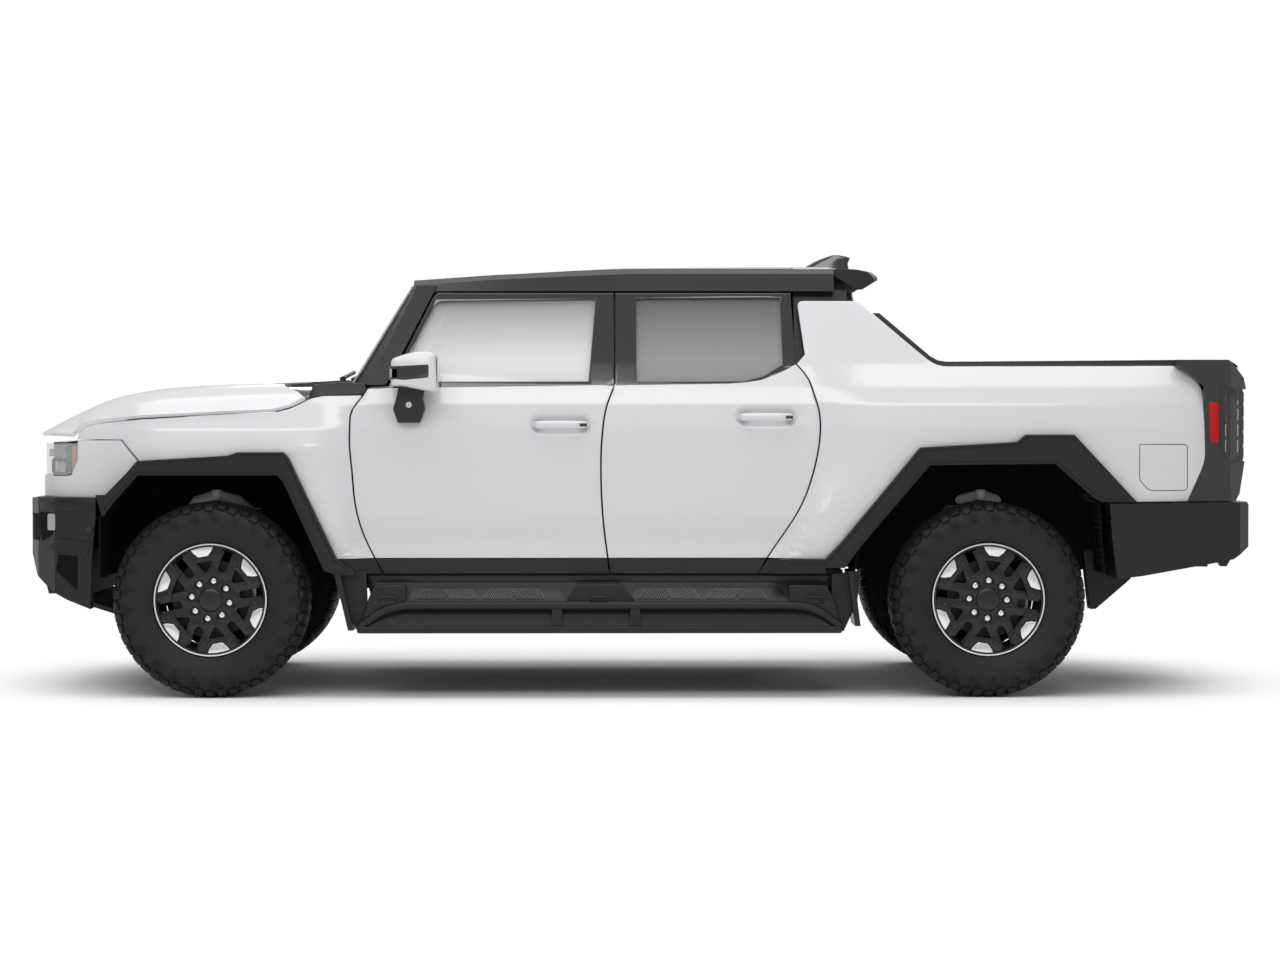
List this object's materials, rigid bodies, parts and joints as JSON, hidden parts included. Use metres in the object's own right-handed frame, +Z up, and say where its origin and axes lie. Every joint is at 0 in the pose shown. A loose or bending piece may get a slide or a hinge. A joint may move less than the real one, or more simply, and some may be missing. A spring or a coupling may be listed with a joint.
{
  "type": "lifted electric off-road crew-cab pickup",
  "caption": "Lifted four-door off-road pickup with open load bed, black arch claddings and side steps, opening doors, hood and tailgate, turning and steered wheels.",
  "frame": {"origin": "on the ground under the middle of the vehicle's bounding box", "axes": "+X towards the tail, the nose at -X; +Y to the vehicle's right side, the left side at -Y; +Z up"},
  "size_m": [5.507, 2.38, 2.001],
  "materials": {
    "body_white": "gloss",
    "gloss_black": "gloss",
    "black_trim": "satin",
    "liner_black": "matte",
    "glass_clear": "gloss",
    "glass_dark": "gloss",
    "lamp_clear": "gloss",
    "lamp_red": "gloss",
    "lamp_white": "gloss",
    "tyre": "matte",
    "rim_dark": "satin",
    "chassis_steel": "satin",
    "arms_bright": "satin",
    "cabin_trim": "matte",
    "seat_leather": "matte",
    "battery_case": "matte",
    "bed_liner": "matte",
    "hook_dark": "satin"
  },
  "bodies": {
    "body": {"arch_trims": "black_trim", "bash_plate": "black_trim", "battery_case": "battery_case", "bed_liner": "bed_liner", "bed_sides": "body_white", "cab_floor": "cabin_trim", "cab_frame": "gloss_black", "chassis_rails": "chassis_steel", "cowl_panel": "gloss_black", "dashboard": "cabin_trim", "drive_units": "battery_case", "fenders": "body_white", "front_bumper": "black_trim", "front_fascia": "body_white", "front_suspension": "arms_bright", "frunk_tub": "cabin_trim", "grille_board": "black_trim", "headlamps": "lamp_clear", "hitch_receiver": "chassis_steel", "light_bar": "lamp_white", "rail_caps": "black_trim", "rear_bumper": "black_trim", "rear_glass": "glass_dark", "rear_suspension": "arms_bright", "roof_panels": "glass_dark", "roof_spoiler": "gloss_black", "seats": "seat_leather", "side_steps": "black_trim", "steering_wheel": "cabin_trim", "tail_lamps": "lamp_red", "tail_posts": "black_trim", "tow_hooks": "hook_dark", "wheelhouse_liners": "liner_black", "windscreen": "glass_clear", "wipers": "black_trim"},
    "hood": {"hood": "body_white", "hood_insert": "gloss_black"},
    "tailgate": {"tailgate": "body_white"},
    "front_door_left": {"front_door_left": "body_white", "front_door_glass_left": "glass_clear", "mirror_left": "gloss_black"},
    "rear_door_left": {"rear_door_left": "body_white", "rear_door_glass_left": "glass_dark"},
    "front_knuckle_left": {"knuckle_front_left": "arms_bright"},
    "front_wheel_left": {"tyre_front_left": "tyre", "rim_front_left": "rim_dark"},
    "rear_knuckle_left": {"knuckle_rear_left": "arms_bright"},
    "rear_wheel_left": {"tyre_rear_left": "tyre", "rim_rear_left": "rim_dark"},
    "front_door_right": {"front_door_right": "body_white", "front_door_glass_right": "glass_clear", "mirror_right": "gloss_black"},
    "rear_door_right": {"rear_door_right": "body_white", "rear_door_glass_right": "glass_dark"},
    "front_knuckle_right": {"knuckle_front_right": "arms_bright"},
    "front_wheel_right": {"tyre_front_right": "tyre", "rim_front_right": "rim_dark"},
    "rear_knuckle_right": {"knuckle_rear_right": "arms_bright"},
    "rear_wheel_right": {"tyre_rear_right": "tyre", "rim_rear_right": "rim_dark"}
  },
  "joints": [
    {"name": "front_door_left_hinge", "type": "hinge", "parent": "body", "child": "front_door_left", "pos_m": [-1.1775, -0.992, 1], "axis": [0, 0, -1], "range_deg": [0, 68]},
    {"name": "rear_door_left_hinge", "type": "hinge", "parent": "body", "child": "rear_door_left", "pos_m": [-0.1215, -0.992, 1], "axis": [0, 0, -1], "range_deg": [0, 68]},
    {"name": "front_door_right_hinge", "type": "hinge", "parent": "body", "child": "front_door_right", "pos_m": [-1.1775, 0.992, 1], "axis": [0, 0, 1], "range_deg": [0, 68]},
    {"name": "rear_door_right_hinge", "type": "hinge", "parent": "body", "child": "rear_door_right", "pos_m": [-0.1215, 0.992, 1], "axis": [0, 0, 1], "range_deg": [0, 68]},
    {"name": "hood_hinge", "type": "hinge", "parent": "body", "child": "hood", "pos_m": [-1.4535, 0, 1.395], "axis": [0, 1, 0], "range_deg": [0, 50]},
    {"name": "tailgate_hinge", "type": "hinge", "parent": "body", "child": "tailgate", "pos_m": [2.68, 0, 0.93], "axis": [0, 1, 0], "range_deg": [0, 90]},
    {"name": "front_steer_left", "type": "hinge", "parent": "body", "child": "front_knuckle_left", "pos_m": [-1.8775, -0.8985, 0.433], "axis": [0, 0, 1], "range_deg": [-30, 30]},
    {"name": "front_wheel_left_spin", "type": "hinge", "parent": "front_knuckle_left", "child": "front_wheel_left", "pos_m": [-1.8775, -0.9385, 0.433], "axis": [0, 1, 0], "continuous": true},
    {"name": "front_steer_right", "type": "hinge", "parent": "body", "child": "front_knuckle_right", "pos_m": [-1.8775, 0.8985, 0.433], "axis": [0, 0, 1], "range_deg": [-30, 30]},
    {"name": "front_wheel_right_spin", "type": "hinge", "parent": "front_knuckle_right", "child": "front_wheel_right", "pos_m": [-1.8775, 0.9385, 0.433], "axis": [0, 1, 0], "continuous": true},
    {"name": "rear_steer_left", "type": "hinge", "parent": "body", "child": "rear_knuckle_left", "pos_m": [1.5665, -0.8985, 0.433], "axis": [0, 0, 1], "range_deg": [-10, 10]},
    {"name": "rear_wheel_left_spin", "type": "hinge", "parent": "rear_knuckle_left", "child": "rear_wheel_left", "pos_m": [1.5665, -0.9385, 0.433], "axis": [0, 1, 0], "continuous": true},
    {"name": "rear_steer_right", "type": "hinge", "parent": "body", "child": "rear_knuckle_right", "pos_m": [1.5665, 0.8985, 0.433], "axis": [0, 0, 1], "range_deg": [-10, 10]},
    {"name": "rear_wheel_right_spin", "type": "hinge", "parent": "rear_knuckle_right", "child": "rear_wheel_right", "pos_m": [1.5665, 0.9385, 0.433], "axis": [0, 1, 0], "continuous": true}
  ],
  "couplings": [
    {"joint": "front_steer_right", "follows": "front_steer_left", "ratio": 1},
    {"joint": "rear_steer_right", "follows": "rear_steer_left", "ratio": 1}
  ]
}
